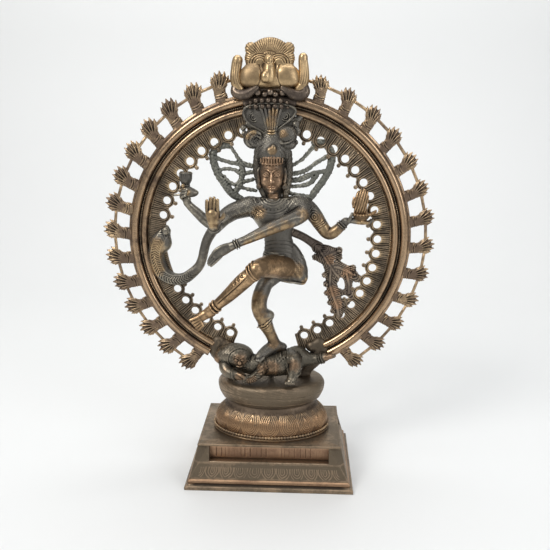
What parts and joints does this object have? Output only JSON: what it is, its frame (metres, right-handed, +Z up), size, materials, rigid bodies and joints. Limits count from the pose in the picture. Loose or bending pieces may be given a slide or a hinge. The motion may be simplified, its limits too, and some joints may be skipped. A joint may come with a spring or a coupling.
{
  "type": "nataraja statue",
  "caption": "Free-standing brass statue of a cosmic dancer inside a ring of flames, standing on a dwarf, a lotus and a stepped pedestal.",
  "frame": {"origin": "on the floor under the middle of the flame ring, at the centre of the part's footprint", "axes": "+Z up, -Y towards the front that the dancer faces, +X to the viewer's right"},
  "size_m": [0.4518, 0.171, 0.6012],
  "materials": {
    "pedestal_brass": "aged satin patina",
    "waist_brass": "aged satin patina",
    "lotus_brass": "aged satin patina",
    "dwarf_brass": "aged satin patina",
    "ring_brass": "aged satin patina",
    "lace_brass": "aged satin patina",
    "flame_brass": "aged satin patina",
    "finial_brass": "aged satin patina",
    "finial_dark_brass": "aged satin patina",
    "warm_brass": "aged satin patina",
    "face_brass": "aged satin patina",
    "dark_brass": "aged satin patina",
    "grey_green_brass": "aged satin patina",
    "sash_brass": "aged satin patina",
    "fixing_steel": "dull zinc-plated steel"
  },
  "bodies": {
    "root": {"foot_plinth": "pedestal_brass", "petal_band": "pedestal_brass", "corner_piers": "pedestal_brass", "waist_panel": "waist_brass", "top_slab": "pedestal_brass", "lotus_bell": "lotus_brass", "bead_rim": "lotus_brass", "lotus_cushion": "pedestal_brass", "tie_stud": "fixing_steel", "tie_washer": "fixing_steel", "tie_nut": "fixing_steel", "dwarf_body": "dwarf_brass", "dwarf_head": "dwarf_brass", "dwarf_arms": "dwarf_brass", "dwarf_legs": "dwarf_brass", "dwarf_snake": "dwarf_brass", "ring_band": "ring_brass", "ring_beading": "ring_brass", "lace_band": "lace_brass", "flames": "flame_brass", "link_rods": "flame_brass", "ring_sockets": "lace_brass", "ring_pins": "fixing_steel", "finial_saddle": "finial_dark_brass", "finial_face": "finial_brass", "finial_horns": "finial_brass", "pearl_rows": "finial_dark_brass", "standing_leg": "warm_brass", "raised_leg": "warm_brass", "anklets": "warm_brass", "hip_cloth": "dark_brass", "belt": "dark_brass", "torso": "dark_brass", "necklaces": "dark_brass", "front_right_arm": "dark_brass", "rear_right_arm": "dark_brass", "front_left_arm": "dark_brass", "rear_left_arm": "dark_brass", "armlets": "dark_brass", "drum": "warm_brass", "fire_bowl": "warm_brass", "hand_flame": "warm_brass", "head": "face_brass", "crown": "dark_brass", "cobra_hood": "dark_brass", "hair_buns": "dark_brass", "hair_wing_left": "grey_green_brass", "hair_wing_right": "grey_green_brass", "sash": "sash_brass", "serpent": "lace_brass"}
  },
  "joints": []
}
